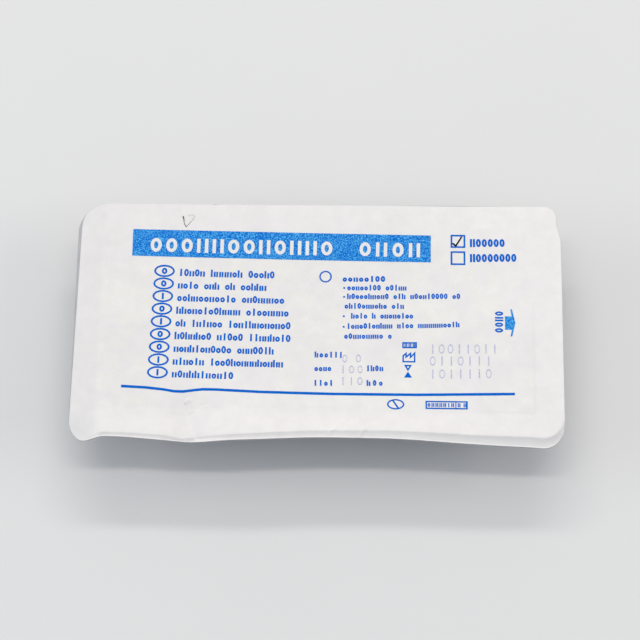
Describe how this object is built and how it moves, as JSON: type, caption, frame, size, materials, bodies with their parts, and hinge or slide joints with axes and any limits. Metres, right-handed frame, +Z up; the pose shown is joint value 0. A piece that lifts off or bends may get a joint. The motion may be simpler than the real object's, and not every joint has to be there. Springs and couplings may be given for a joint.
{
  "type": "sealed sterile blister pack",
  "caption": "Sealed sterile pack: a white paper lid heat-sealed to a drawn film tray with fluted walls, a wide flange and a peel corner.",
  "frame": {"origin": "on the floor, under the middle of the pack's outline, on the plane of the tray's base rim", "axes": "+X along the pack's long edge, +Y across it towards the edge with the peel corner, +Z up through the paper lid; the peel corner is at +X +Y"},
  "size_m": [0.2019, 0.1067, 0.0286],
  "materials": {
    "film": "milky drawn film, semi-gloss",
    "paper": "uncoated fibrous medical paper, matt",
    "ink": "matt print on the paper lid"
  },
  "bodies": {
    "root": {"sealed_pack": "film"}
  },
  "joints": []
}
